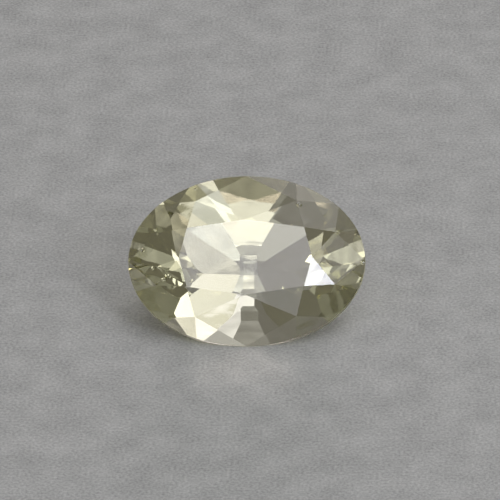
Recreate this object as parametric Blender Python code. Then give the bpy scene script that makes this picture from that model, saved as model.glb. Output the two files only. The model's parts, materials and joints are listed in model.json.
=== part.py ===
"""A loose faceted diaspore: an oval brilliant, lying on the near side of its pavilion.

The stone is made as a cutter makes it. An oval blank is ground to the girdle's outline, and each
facet is then one straight cut across it. The finished stone is tipped over onto the facet that it
rests on. Run it with: blender --background --python part.py
"""
import math
from collections import namedtuple

import bmesh
import bpy
from mathutils import Matrix, Vector

MM = 0.001

# The stone's own frame, in millimetres: X along its length, Y across it and Z out of its table.
# Z is 0 at the upper edge of the girdle.
LENGTH = 8.20
WIDTH = 5.98
GIRDLE_THICKNESS = 0.38
CROWN_HEIGHT = 0.75
THINNEST_GIRDLE = 0.08
BLANK_DEPTH = 4.0
BLANK_SIDES = 144

# Corners of the eight-sided table: at its ends, between, and at the middle of its long sides
TABLE_END_X = 2.302
TABLE_CORNER_X = 2.029
TABLE_CORNER_Y = 1.031
TABLE_SIDE_Y = 1.323

# Outer tips of the star facets, seen from above: those by the ends and those by the long sides
END_STAR_X = 3.083
END_STAR_Y = 0.919
SIDE_STAR_X = 1.757
SIDE_STAR_Y = 2.031

# Cuts of one quarter of the pavilion. Direction is round the girdle from its end, and slope is from
# the girdle's plane, both in degrees. Inset is how far inside the outline the cut meets the level of
# the girdle's lower edge, in millimetres, and it is negative where the cut starts below that level.
Cut = namedtuple("Cut", "direction slope inset")
SIDE_MAIN = Cut(90.0, 46.2, 0.35)
END_MAIN = Cut(0.0, 45.4, -0.14)
CORNER_MAIN = Cut(15.5, 45.6, 0.05)
GIRDLE_CUTS = (
    Cut(4.7, 45.9, 0.01),
    Cut(35.5, 48.6, 0.13),
    Cut(67.0, 47.5, 0.06),
    Cut(77.2, 43.7, 0.12),
)

# Each main is cut again at another slope, through the line that lies on it at a depth below the girdle.
# A steeper cut leaves its facet above that line, and a gentler one leaves it below.
SecondCut = namedtuple("SecondCut", "main direction slope depth")
RESTING_CUT = SecondCut(SIDE_MAIN, 90.0, 47.1, 1.87)
SECOND_CUTS = (
    RESTING_CUT,
    SecondCut(SIDE_MAIN, 90.0, 43.0, 2.19),
    SecondCut(END_MAIN, 0.0, 35.6, 2.17),
    SecondCut(CORNER_MAIN, 31.9, 37.0, 2.61),
)

# The stone was cut a little askew: degrees by which the near long side, and the right end, are steeper
SIDE_LEAN = 2.2
END_LEAN = 0.1

# Corners closer than this are one meet point of several cuts
MEET_TOLERANCE = 0.008

STONE_COLOUR = (0.86, 0.84, 0.66, 1.0)
STONE_IOR = 1.72


def clear_scene():
    for item in list(bpy.data.objects):
        bpy.data.objects.remove(item, do_unlink=True)


def new_collection(name):
    collection = bpy.data.collections.new(name)
    bpy.context.scene.collection.children.link(collection)
    return collection


def stone_material():
    material = bpy.data.materials.new("diaspore")
    material.use_nodes = True
    shader = material.node_tree.nodes["Principled BSDF"]
    shader.inputs["Base Color"].default_value = STONE_COLOUR
    shader.inputs["Roughness"].default_value = 0.02
    shader.inputs["Metallic"].default_value = 0.0
    shader.inputs["IOR"].default_value = STONE_IOR
    shader.inputs["Transmission Weight"].default_value = 1.0
    return material


def oval_blank():
    """The rough ground to the girdle's outline: an elliptical cylinder, deeper than the stone."""
    blank = bmesh.new()
    bmesh.ops.create_cone(
        blank, cap_ends=True, segments=BLANK_SIDES, radius1=1.0, radius2=1.0, depth=1.0)
    height = CROWN_HEIGHT + BLANK_DEPTH
    to_size = Matrix.Diagonal((LENGTH / 2, WIDTH / 2, height, 1.0))
    to_place = Matrix.Translation((0.0, 0.0, CROWN_HEIGHT - height / 2))
    bmesh.ops.transform(blank, matrix=to_place @ to_size, verts=blank.verts)
    return blank


def cut_facet(stone, point, outward):
    """Grind away all that lies beyond one plane, and close the stone with a flat facet there."""
    geometry = stone.verts[:] + stone.edges[:] + stone.faces[:]
    cut = bmesh.ops.bisect_plane(
        stone, geom=geometry, dist=1e-6, plane_co=point, plane_no=outward, clear_outer=True)
    rim = [item for item in cut["geom_cut"] if isinstance(item, bmesh.types.BMEdge)]
    if rim:
        bmesh.ops.contextual_create(stone, geom=rim)


def cut_through(stone, corners):
    """Cut the facet that passes through three corners, with the stone's middle kept."""
    first, second, third = (Vector(corner) for corner in corners)
    outward = (second - first).cross(third - first).normalized()
    if outward.dot(first) < 0.0:
        outward.negate()
    cut_facet(stone, first, outward)


def mirrored(corners, side_x, side_y):
    return [(x * side_x, y * side_y, z) for x, y, z in corners]


def girdle_point(angle, height=0.0):
    return (LENGTH / 2 * math.cos(angle), WIDTH / 2 * math.sin(angle), height)


def corner_main_touch(table_corner, end_star, side_star):
    """Where on the girdle, as an ellipse angle, the main between an end and a side comes down."""
    first, second, third = (Vector(corner) for corner in (table_corner, end_star, side_star))
    outward = (second - first).cross(third - first)
    return math.atan2(abs(outward.y) * WIDTH, abs(outward.x) * LENGTH)


def cut_crown(stone):
    """Table, eight stars, eight mains and sixteen girdle facets, as four mirrored quarters."""
    end_run = LENGTH / 2 - TABLE_END_X
    side_run = WIDTH / 2 - TABLE_SIDE_Y
    table_end = (TABLE_END_X, 0.0, CROWN_HEIGHT)
    table_corner = (TABLE_CORNER_X, TABLE_CORNER_Y, CROWN_HEIGHT)
    table_side = (0.0, TABLE_SIDE_Y, CROWN_HEIGHT)
    end_star = (END_STAR_X, END_STAR_Y, CROWN_HEIGHT * (LENGTH / 2 - END_STAR_X) / end_run)
    side_star = (SIDE_STAR_X, SIDE_STAR_Y, CROWN_HEIGHT * (WIDTH / 2 - SIDE_STAR_Y) / side_run)
    end_tip = girdle_point(0.0)
    side_tip = girdle_point(math.pi / 2)
    corner_angle = corner_main_touch(table_corner, end_star, side_star)
    corner_tip = girdle_point(corner_angle)
    end_break = girdle_point(corner_angle / 2)
    side_break = girdle_point((corner_angle + math.pi / 2) / 2)
    facets = (
        (table_end, end_tip, (TABLE_END_X, 1.0, CROWN_HEIGHT)),
        (table_side, side_tip, (1.0, TABLE_SIDE_Y, CROWN_HEIGHT)),
        (table_corner, end_star, side_star),
        (table_end, table_corner, end_star),
        (table_side, table_corner, side_star),
        (end_star, end_tip, end_break),
        (end_star, end_break, corner_tip),
        (side_star, corner_tip, side_break),
        (side_star, side_break, side_tip),
    )
    for side_x in (1, -1):
        for side_y in (1, -1):
            for facet in facets:
                cut_through(stone, mirrored(facet, side_x, side_y))


def pavilion_plane(cut, side_x, side_y):
    """One cut in one quarter of the pavilion: where it starts, its level direction and its slope."""
    direction = math.radians(cut.direction)
    level = Vector((side_x * math.cos(direction), side_y * math.sin(direction), 0.0))
    lean = END_LEAN * side_x * level.x ** 2 - SIDE_LEAN * side_y * level.y ** 2
    reach = math.hypot(LENGTH / 2 * level.x, WIDTH / 2 * level.y)
    slope = math.radians(cut.slope + lean)
    inset = min(cut.inset, (GIRDLE_THICKNESS - THINNEST_GIRDLE) / math.tan(slope))
    start = level * (reach - inset) - Vector((0.0, 0.0, GIRDLE_THICKNESS))
    return start, level, slope, math.radians(lean)


def cut_below(stone, start, level, slope):
    outward = level * math.sin(slope) - Vector((0.0, 0.0, math.cos(slope)))
    cut_facet(stone, start, outward)


def cut_pavilion(stone):
    """Mains, girdle cuts and second cuts, each repeated in the four quarters."""
    for side_x in (1, -1):
        for side_y in (1, -1):
            for cut in (SIDE_MAIN, END_MAIN, CORNER_MAIN) + GIRDLE_CUTS:
                start, level, slope, lean = pavilion_plane(cut, side_x, side_y)
                cut_below(stone, start, level, slope)
            for second in SECOND_CUTS:
                upper = second.main._replace(direction=second.direction)
                start, level, slope, lean = pavilion_plane(upper, side_x, side_y)
                start -= level * (second.depth / math.tan(slope)) + Vector((0.0, 0.0, second.depth))
                cut_below(stone, start, level, math.radians(second.slope) + lean)


def rest_on_side(stone):
    """Tip the stone towards -Y onto its largest facet there, with the middle of its box over the origin."""
    tip = Matrix.Rotation(math.radians(RESTING_CUT.slope + SIDE_LEAN), 4, "X")
    bmesh.ops.transform(stone, matrix=Matrix.Scale(MM, 4) @ tip, verts=stone.verts)
    lows = [min(vert.co[axis] for vert in stone.verts) for axis in range(3)]
    highs = [max(vert.co[axis] for vert in stone.verts) for axis in range(3)]
    centre = Vector(((lows[0] + highs[0]) / 2, (lows[1] + highs[1]) / 2, lows[2]))
    bmesh.ops.translate(stone, vec=-centre, verts=stone.verts)


def make_stone(collection):
    stone = oval_blank()
    cut_pavilion(stone)
    cut_crown(stone)
    bmesh.ops.remove_doubles(stone, verts=stone.verts, dist=MEET_TOLERANCE)
    bmesh.ops.dissolve_degenerate(stone, edges=stone.edges, dist=MEET_TOLERANCE)
    rest_on_side(stone)
    bmesh.ops.recalc_face_normals(stone, faces=stone.faces)
    mesh = bpy.data.meshes.new("faceted_diaspore")
    stone.to_mesh(mesh)
    stone.free()
    mesh.materials.append(stone_material())
    collection.objects.link(bpy.data.objects.new("faceted_diaspore", mesh))


clear_scene()
make_stone(new_collection("faceted_diaspore"))
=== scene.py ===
# %% [markdown]
# A cut diaspore lies on a pale cloth, tipped over onto one side of its pavilion, so that its
# table faces forwards and up. The stone is clear, so almost nothing that one sees is its own
# surface: each facet is a small window or mirror that shows a piece of the studio. Three things
# make the picture: flat facets at the right angles, a glass with the refraction of diaspore, and
# lamps in the right places. The CAD model has the facets, and this script adds the rest.

import json
import math
from collections import namedtuple

import bmesh
import bpy
from mathutils import Matrix, Quaternion, Vector
from mathutils.bvhtree import BVHTree


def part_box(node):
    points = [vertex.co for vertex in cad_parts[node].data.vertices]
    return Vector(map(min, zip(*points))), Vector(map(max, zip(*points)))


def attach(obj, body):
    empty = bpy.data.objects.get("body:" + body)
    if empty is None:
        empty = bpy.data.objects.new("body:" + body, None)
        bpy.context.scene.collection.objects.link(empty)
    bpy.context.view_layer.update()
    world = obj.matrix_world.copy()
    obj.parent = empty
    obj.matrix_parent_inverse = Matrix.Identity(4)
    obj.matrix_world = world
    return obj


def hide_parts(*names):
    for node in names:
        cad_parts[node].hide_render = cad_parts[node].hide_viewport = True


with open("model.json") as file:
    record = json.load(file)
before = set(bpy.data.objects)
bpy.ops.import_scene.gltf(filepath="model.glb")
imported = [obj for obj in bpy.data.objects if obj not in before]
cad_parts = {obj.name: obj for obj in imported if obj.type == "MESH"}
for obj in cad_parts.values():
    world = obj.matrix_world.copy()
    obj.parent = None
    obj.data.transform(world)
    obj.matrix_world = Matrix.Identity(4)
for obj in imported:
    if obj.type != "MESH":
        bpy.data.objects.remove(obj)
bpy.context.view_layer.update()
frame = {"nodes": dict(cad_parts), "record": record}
cad_stone = frame["nodes"]["faceted_diaspore"]
scene = bpy.context.scene
MM = 0.001
print("nodes in the frame:", ", ".join(frame["nodes"]))

# %% [markdown]
# Everything that follows is placed from the stone itself. The record names the table as a flat
# face, with a point on it and the way that it looks. The camera aims by that point, and the
# direction later tells the girdle from the other facets.

# %% Read the stone's place and the way its table looks
low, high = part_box("faceted_diaspore")
middle = (low + high) / 2
table_face = next(mount for mount in frame["record"]["mounts"] if mount["name"] == "table")
out_of_table = Vector(table_face["axis"]).normalized()
table_tilt = math.degrees(out_of_table.angle(Vector((0.0, 0.0, 1.0))))
print("stone", [round(side / MM, 2) for side in high - low], "mm")
print("table tipped", round(table_tilt, 1), "degrees")

# %% [markdown]
# Light in a gemstone is thrown from facet to facet many times before it leaves. A renderer stops
# following a path after a set number of turns, and paths that stop early come out black, so the
# limits are raised well above their usual values. At few samples, Blender's automatic sampling
# pattern leaves fine dots on glass, which the older Sobol pattern doesn't. The Standard view keeps
# greys as they are lit.

# %% Set how far light is followed
LIGHT_TURNS = 32

scene.cycles.max_bounces = LIGHT_TURNS
scene.cycles.transmission_bounces = LIGHT_TURNS
scene.cycles.glossy_bounces = LIGHT_TURNS
scene.cycles.blur_glossy = 0.0
scene.cycles.use_denoising = True
scene.cycles.sampling_pattern = "TABULATED_SOBOL"
scene.view_settings.view_transform = "Standard"
scene.view_settings.look = "None"
print("light is followed for", LIGHT_TURNS, "turns")

# %% [markdown]
# Directions in a studio are easiest to say as two angles: how far round from the front, and how
# high above the floor. This helper turns them into an arrow from the stone. The front is the
# camera's side, and positive angles go round to the right.

# %% A helper for directions
def direction_to(round_from_front, height):
    turn = math.radians(round_from_front)
    rise = math.radians(height)
    return Vector((math.sin(turn) * math.cos(rise), -math.cos(turn) * math.cos(rise), math.sin(rise)))


print("right front and high:", [round(part, 2) for part in direction_to(45, 45)])

# %% [markdown]
# The photograph is a close-up through a long lens: the stone's far edge is hardly smaller than
# its near edge. The camera therefore stands far off for so small a thing, with a narrow view.
# It looks down at about thirty degrees, a little from the right, so that it sees the whole crown.
# The angles, the width of the view and the point aimed at come from a search that matched the
# stone's outline and patches to the photograph.

# %% Place the camera
CAMERA_ROUND = 3.6
CAMERA_HEIGHT = 30.0
CAMERA_ROLL = -2.2
CAMERA_DISTANCE = 250 * MM
NEAREST_SEEN = 10 * MM
FARTHEST_SEEN = 5.0
VIEW_WIDTH = 17.24 * MM
SENSOR_WIDTH = 36.0
AIM_RIGHT = 0.16 * MM
AIM_UP = 0.24 * MM

camera_data = bpy.data.cameras.new("close_up")
camera_data.sensor_width = SENSOR_WIDTH
camera_data.lens = SENSOR_WIDTH * CAMERA_DISTANCE / VIEW_WIDTH
camera_data.clip_start = NEAREST_SEEN
camera_data.clip_end = FARTHEST_SEEN
camera = bpy.data.objects.new("close_up", camera_data)
scene.collection.objects.link(camera)
towards_camera = direction_to(CAMERA_ROUND, CAMERA_HEIGHT)
level_turn = (-towards_camera).to_track_quat("-Z", "Y")
camera_turn = Quaternion(towards_camera, math.radians(CAMERA_ROLL)) @ level_turn
aim = Vector(table_face["pos_m"]) + camera_turn @ Vector((AIM_RIGHT, AIM_UP, 0.0))
camera.location = aim + towards_camera * CAMERA_DISTANCE
camera.rotation_euler = camera_turn.to_euler()
scene.camera = camera
print("lens", round(camera_data.lens), "mm")

# %% [markdown]
# Under the stone lies a pale grey cloth, close enough to a plain floor at this distance: only a
# fine, soft grain is left of its weave. It is one large flat mesh. Two sizes of noise, one for
# single fibres and one for the slow unevenness of the pile, vary its grey a little. The finer one
# also lifts the surface through a Bump node, so that the grain shows in the light. The cloth lies
# a hair below the stone, because a renderer can't tell which of two faces in one plane comes first.

# %% Make the floor
FLOOR_SIZE = 3.0
FLOOR_GAP = 0.03 * MM
FLOOR_GREY = (0.41, 0.42, 0.39)
FIBRE_SIZE = 0.10 * MM
FIBRE_DETAIL = 3.0
FIBRE_LIFT = 0.25
PILE_SIZE = 1.3 * MM
PILE_DETAIL = 2.0
PILE_SHARE = 0.3
GRAIN_CONTRAST = 0.30
DARKEST_AT = 0.30
PALEST_AT = 0.70
CLOTH_ROUGHNESS = 0.95


def floor_material():
    material = bpy.data.materials.new("grey_cloth")
    material.use_nodes = True
    nodes, links = material.node_tree.nodes, material.node_tree.links
    shader = nodes["Principled BSDF"]
    shader.inputs["Roughness"].default_value = CLOTH_ROUGHNESS
    place = nodes.new("ShaderNodeTexCoord")
    fibres = nodes.new("ShaderNodeTexNoise")
    fibres.inputs["Scale"].default_value = 1.0 / FIBRE_SIZE
    fibres.inputs["Detail"].default_value = FIBRE_DETAIL
    pile = nodes.new("ShaderNodeTexNoise")
    pile.inputs["Scale"].default_value = 1.0 / PILE_SIZE
    pile.inputs["Detail"].default_value = PILE_DETAIL
    together = nodes.new("ShaderNodeMix")
    together.inputs["Factor"].default_value = PILE_SHARE
    shades = nodes.new("ShaderNodeValToRGB")
    darkest, palest = shades.color_ramp.elements
    darkest.position = DARKEST_AT
    darkest.color = [grey * (1.0 - GRAIN_CONTRAST) for grey in FLOOR_GREY] + [1.0]
    palest.position = PALEST_AT
    palest.color = [grey * (1.0 + GRAIN_CONTRAST) for grey in FLOOR_GREY] + [1.0]
    bump = nodes.new("ShaderNodeBump")
    bump.inputs["Strength"].default_value = FIBRE_LIFT
    bump.inputs["Distance"].default_value = FIBRE_SIZE / 2
    links.new(place.outputs["Object"], fibres.inputs["Vector"])
    links.new(place.outputs["Object"], pile.inputs["Vector"])
    links.new(fibres.outputs["Fac"], together.inputs["A"])
    links.new(pile.outputs["Fac"], together.inputs["B"])
    links.new(together.outputs["Result"], shades.inputs["Fac"])
    links.new(shades.outputs["Color"], shader.inputs["Base Color"])
    links.new(fibres.outputs["Fac"], bump.inputs["Height"])
    links.new(bump.outputs["Normal"], shader.inputs["Normal"])
    return material


floor_mesh = bpy.data.meshes.new("floor")
floor_shape = bmesh.new()
bmesh.ops.create_grid(floor_shape, x_segments=1, y_segments=1, size=FLOOR_SIZE / 2)
floor_shape.to_mesh(floor_mesh)
floor_shape.free()
floor_mesh.materials.append(floor_material())
floor = bpy.data.objects.new("floor", floor_mesh)
floor.location.z = -FLOOR_GAP
scene.collection.objects.link(floor)
print("floor", FLOOR_SIZE, "m across, with fibres of", round(FIBRE_SIZE / MM, 2), "mm")

# %% [markdown]
# A photographer lights a gemstone with large, soft boxes, because each one shows up again and
# again inside the stone as bright patches, and the gaps between them give the dark ones. An area
# lamp is such a box. Its size is given as an angle seen from the stone, and its brightness as
# that of its surface, so that a box can be made larger without making it dimmer. A real box is
# brightest in the middle, where its lamp sits behind the cloth, so the lamp's own shader dims it
# towards the edges, and the stone's patches get soft gradients instead of one flat tone each.
# The stone shows the boxes, but the camera itself doesn't see them.
#
# The sixteen boxes began as a fit to the photograph: another program placed most of them and found
# their strengths. Angles, sizes and strengths were then set to round values. Two boxes have a
# plain task. The star lamp is mirrored to the camera by one bright facet beside the table, and the
# table lamp lays a pale veil over the table.

# %% Hang the soft boxes
BOX_DISTANCE = 350 * MM
HALF_A_SIDE = 0.5
SOFT_EDGE = 0.25
BACKGROUND_GREY = (0.19, 0.18, 0.17, 1.0)
NEUTRAL = (0.94, 0.92, 1.0)
COOL = (0.84, 0.86, 1.0)
WARM = (1.0, 0.94, 0.88)
ROSE = (1.0, 0.88, 1.0)


def dim_towards_edges(data):
    """Dim the lamp's surface smoothly towards its four edges."""
    data.use_nodes = True
    nodes, links = data.node_tree.nodes, data.node_tree.links
    surface = nodes.new("ShaderNodeNewGeometry")
    sides = nodes.new("ShaderNodeSeparateXYZ")
    links.new(surface.outputs["Parametric"], sides.inputs["Vector"])
    glow = nodes.new("ShaderNodeMath")
    glow.operation = "MULTIPLY"
    for place, side in enumerate("XY"):
        near_edge = nodes.new("ShaderNodeMath")
        near_edge.operation = "PINGPONG"
        near_edge.inputs[1].default_value = HALF_A_SIDE
        rise = nodes.new("ShaderNodeMapRange")
        rise.interpolation_type = "SMOOTHSTEP"
        rise.inputs["From Max"].default_value = SOFT_EDGE
        links.new(sides.outputs[side], near_edge.inputs[0])
        links.new(near_edge.outputs["Value"], rise.inputs["Value"])
        links.new(rise.outputs["Result"], glow.inputs[place])
    links.new(glow.outputs["Value"], nodes["Emission"].inputs["Strength"])


def soft_box(name, round_from_front, height, wide, tall, brightness, tint):
    """Hang one box, with its direction and size as angles in degrees, seen from the stone."""
    data = bpy.data.lights.new(name, "AREA")
    data.shape = "RECTANGLE"
    data.size = 2 * BOX_DISTANCE * math.tan(math.radians(wide / 2))
    data.size_y = 2 * BOX_DISTANCE * math.tan(math.radians(tall / 2))
    data.energy = brightness * math.pi * data.size * data.size_y
    data.color = tint
    dim_towards_edges(data)
    box = bpy.data.objects.new(name, data)
    out = direction_to(round_from_front, height)
    box.location = middle + out * BOX_DISTANCE
    box.rotation_euler = out.to_track_quat("Z", "Y").to_euler()
    box.visible_camera = False
    scene.collection.objects.link(box)


soft_box("key_box", 35, 45, 25, 40, 1.9, COOL)
soft_box("right_front_box", 45, 30, 35, 30, 1.1, NEUTRAL)
soft_box("right_box", 70, 40, 25, 30, 0.7, WARM)
soft_box("right_high_box", 55, 65, 20, 20, 0.9, COOL)
soft_box("right_low_box", 60, 10, 20, 15, 2.2, NEUTRAL)
soft_box("star_lamp", 40, 35, 15, 15, 7.5, COOL)
soft_box("table_lamp", -5, 50, 15, 15, 1.6, NEUTRAL)
soft_box("front_high_box", 0, 60, 20, 30, 0.9, NEUTRAL)
soft_box("front_low_box", 0, 20, 30, 25, 1.3, COOL)
soft_box("left_fill", -25, 50, 50, 40, 0.4, COOL)
soft_box("left_low_box", -70, 15, 20, 15, 0.6, NEUTRAL)
soft_box("top_box", 100, 70, 35, 50, 1.5, NEUTRAL)
soft_box("right_back_box", 140, 45, 30, 30, 0.8, WARM)
soft_box("back_fill", 165, 30, 45, 35, 0.4, NEUTRAL)
soft_box("back_high_box", 160, 60, 35, 40, 1.3, NEUTRAL)
soft_box("back_strip", 180, 10, 40, 20, 5.2, ROSE)

world = bpy.data.worlds.new("studio")
world.use_nodes = True
world.node_tree.nodes["Background"].inputs["Color"].default_value = BACKGROUND_GREY
scene.world = world

# %% [markdown]
# The visible stone is a copy of the CAD solid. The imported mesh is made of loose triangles, so the
# copy's corners are joined first, and triangles that lie in one plane become one facet again.
# Facets must stay perfectly flat: a gem's sparkle is lost at the slightest rounding.

# %% Copy the stone and join its facets
SAME_POINT = 0.1e-6
SAME_PLANE = math.radians(0.05)

stone_mesh = bpy.data.meshes.new("cut_stone")
shape = bmesh.new()
shape.from_mesh(cad_stone.data)
bmesh.ops.remove_doubles(shape, verts=shape.verts, dist=SAME_POINT)
bmesh.ops.dissolve_limit(shape, angle_limit=SAME_PLANE, verts=shape.verts, edges=shape.edges)
shape.normal_update()
open_edges = sum(1 for edge in shape.edges if not edge.is_manifold)
print(len(shape.faces), "facets,", open_edges, "open edges")

# %% [markdown]
# A few small breaks tell that the stone has been handled: a nick where facets meet on the crown and
# chips on and near the girdle. Diaspore breaks in little shell-shaped hollows. Each one is scooped
# out of the solid with a small ball, by a Boolean modifier. The first three are placed where the
# photograph shows them, and the smallest, the last, has no clear match there. A ray from the camera
# through one place of the picture finds the point on the stone.

# %% Scoop out the small breaks
PICTURE_SIDE = 500
BALL_RINGS = 14

Break = namedtuple("Break", "across down radius bite")
BREAKS = (
    Break(299, 205, 0.15 * MM, 0.05 * MM),
    Break(363, 262, 0.15 * MM, 0.04 * MM),
    Break(143, 250, 0.11 * MM, 0.03 * MM),
    Break(196, 189, 0.10 * MM, 0.025 * MM),
)


def seen_at(surface, across, down):
    """The point of the surface that the camera sees at one place in the picture, and its normal."""
    right_of_middle = (across / PICTURE_SIDE - 0.5) * VIEW_WIDTH
    above_middle = (0.5 - down / PICTURE_SIDE) * VIEW_WIDTH
    target = aim + camera_turn @ Vector((right_of_middle, above_middle, 0.0))
    point, normal, _, _ = surface.ray_cast(camera.location, (target - camera.location).normalized())
    return point, normal


surface = BVHTree.FromBMesh(shape)
scoops = bmesh.new()
for mark in BREAKS:
    point, normal = seen_at(surface, mark.across, mark.down)
    if point is None:
        continue
    centre = Matrix.Translation(point + normal * (mark.radius - mark.bite))
    bmesh.ops.create_uvsphere(
        scoops, u_segments=2 * BALL_RINGS, v_segments=BALL_RINGS, radius=mark.radius, matrix=centre)
    print("break at", [round(part / MM, 2) for part in point], "mm")
shape.to_mesh(stone_mesh)
shape.free()
scoop_mesh = bpy.data.meshes.new("scoops")
scoops.to_mesh(scoop_mesh)
scoops.free()
whole_stone = bpy.data.objects.new("whole_stone", stone_mesh)
scoop_balls = bpy.data.objects.new("scoop_balls", scoop_mesh)
scene.collection.objects.link(whole_stone)
scene.collection.objects.link(scoop_balls)
cut_away = whole_stone.modifiers.new("cut_away", "BOOLEAN")
cut_away.operation = "DIFFERENCE"
cut_away.solver = "EXACT"
cut_away.object = scoop_balls
evaluated = whole_stone.evaluated_get(bpy.context.evaluated_depsgraph_get())
stone_mesh = bpy.data.meshes.new_from_object(evaluated)
bpy.data.objects.remove(whole_stone)
bpy.data.objects.remove(scoop_balls)
print(len(stone_mesh.polygons), "faces with the breaks")

# %% [markdown]
# Only the girdle, the narrow band round the stone's widest part, isn't polished. It is left finely
# ground, so it looks frosted. Its facets stand upright on the table's plane, and that is how they
# are found. A number on each face, 1 on the girdle and 0 elsewhere, tells the material where it is.

# %% Mark the ground girdle
UPRIGHT = math.sin(math.radians(4.0))

shape = bmesh.new()
shape.from_mesh(stone_mesh)
ground = shape.faces.layers.float.new("ground")
for face in shape.faces:
    face[ground] = 1.0 if abs(face.normal.dot(out_of_table)) < UPRIGHT else 0.0
    face.smooth = False
girdle_facets = [face for face in shape.faces if face[ground] > 0.5]
print(len(girdle_facets), "girdle facets")
shape.to_mesh(stone_mesh)
shape.free()

# %% [markdown]
# No lap polishes perfectly flat. Over a millimetre or so each facet waves by a few thousandths of
# a millimetre, and the lap leaves faint lines along it. One can't see this as a shape, but light
# that has met several facets has added it up, and the patches in the stone get bent edges and soft
# streaks. Both are noise patterns that lift the surface through Bump nodes. The pattern for the
# lines is stretched along the stone, so that it comes out as long streaks.

# %% A helper for the polish
WAVE_LENGTH = 1.1 * MM
WAVE_HEIGHT = 0.0055 * MM
WAVE_DETAIL = 1.0
LINE_WIDTH = 0.05 * MM
LINE_DETAIL = 2.0
LINE_STRETCH = 14.0
LINE_HEIGHT = 0.00012 * MM


def polish_bump(nodes, links):
    """Bump nodes for the slow waves and the fine lap lines; returns the last one."""
    place = nodes.new("ShaderNodeTexCoord")
    waves = nodes.new("ShaderNodeTexNoise")
    waves.inputs["Scale"].default_value = 1.0 / WAVE_LENGTH
    waves.inputs["Detail"].default_value = WAVE_DETAIL
    stretch = nodes.new("ShaderNodeMapping")
    stretch.inputs["Scale"].default_value = (1.0 / LINE_STRETCH, 1.0, 1.0)
    lap_lines = nodes.new("ShaderNodeTexNoise")
    lap_lines.inputs["Scale"].default_value = 1.0 / LINE_WIDTH
    lap_lines.inputs["Detail"].default_value = LINE_DETAIL
    slow = nodes.new("ShaderNodeBump")
    slow.inputs["Distance"].default_value = WAVE_HEIGHT
    fine = nodes.new("ShaderNodeBump")
    fine.inputs["Distance"].default_value = LINE_HEIGHT
    links.new(place.outputs["Object"], waves.inputs["Vector"])
    links.new(place.outputs["Object"], stretch.inputs["Vector"])
    links.new(stretch.outputs["Vector"], lap_lines.inputs["Vector"])
    links.new(waves.outputs["Fac"], slow.inputs["Height"])
    links.new(lap_lines.outputs["Fac"], fine.inputs["Height"])
    links.new(slow.outputs["Normal"], fine.inputs["Normal"])
    return fine


print("facets wave by", round(WAVE_HEIGHT / MM, 4), "mm over", round(WAVE_LENGTH / MM, 1), "mm")

# %% [markdown]
# Diaspore bends light strongly (its refractive index is about 1.72) and it is clear, so the shader
# is glass: full transmission, and no roughness but on the ground girdle. Its pale champagne green
# isn't a paint on the surface but a faint tint in the depth, so it is given to a Volume Absorption
# node: the longer a ray's path in the stone, the stronger the colour. Part of the tint is plain
# grey. That part wasn't measured. It was set from renders beside the photograph, and it is deep
# because that gives the contrast between light and dark patches.

# %% Make the glass of the stone
CLEAR = (1.0, 1.0, 1.0, 1.0)
STONE_IOR = 1.72
TINT = (0.67, 0.66, 0.35, 1.0)
TINT_DENSITY = 155.0
POLISH = 0.0
GROUND = 0.35


def diaspore_material():
    material = bpy.data.materials.new("clear_diaspore")
    material.use_nodes = True
    nodes, links = material.node_tree.nodes, material.node_tree.links
    shader = nodes["Principled BSDF"]
    shader.inputs["Base Color"].default_value = CLEAR
    shader.inputs["IOR"].default_value = STONE_IOR
    shader.inputs["Transmission Weight"].default_value = 1.0
    girdle = nodes.new("ShaderNodeAttribute")
    girdle.attribute_name = "ground"
    finish = nodes.new("ShaderNodeMapRange")
    finish.inputs["To Min"].default_value = POLISH
    finish.inputs["To Max"].default_value = GROUND
    depth = nodes.new("ShaderNodeVolumeAbsorption")
    depth.inputs["Color"].default_value = TINT
    depth.inputs["Density"].default_value = TINT_DENSITY
    links.new(polish_bump(nodes, links).outputs["Normal"], shader.inputs["Normal"])
    links.new(girdle.outputs["Fac"], finish.inputs["Value"])
    links.new(finish.outputs["Result"], shader.inputs["Roughness"])
    links.new(depth.outputs["Volume"], nodes["Material Output"].inputs["Volume"])
    return material


stone_mesh.materials.append(diaspore_material())
stone = bpy.data.objects.new("cut_stone", stone_mesh)
scene.collection.objects.link(stone)
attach(stone, "root")
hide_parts("faceted_diaspore")
print("refractive index", STONE_IOR, "and tint density", TINT_DENSITY, "per metre")

# %% [markdown]
# The dressed stone keeps the size of the CAD one.

# %% Finish
print("the stone is dressed and lit")
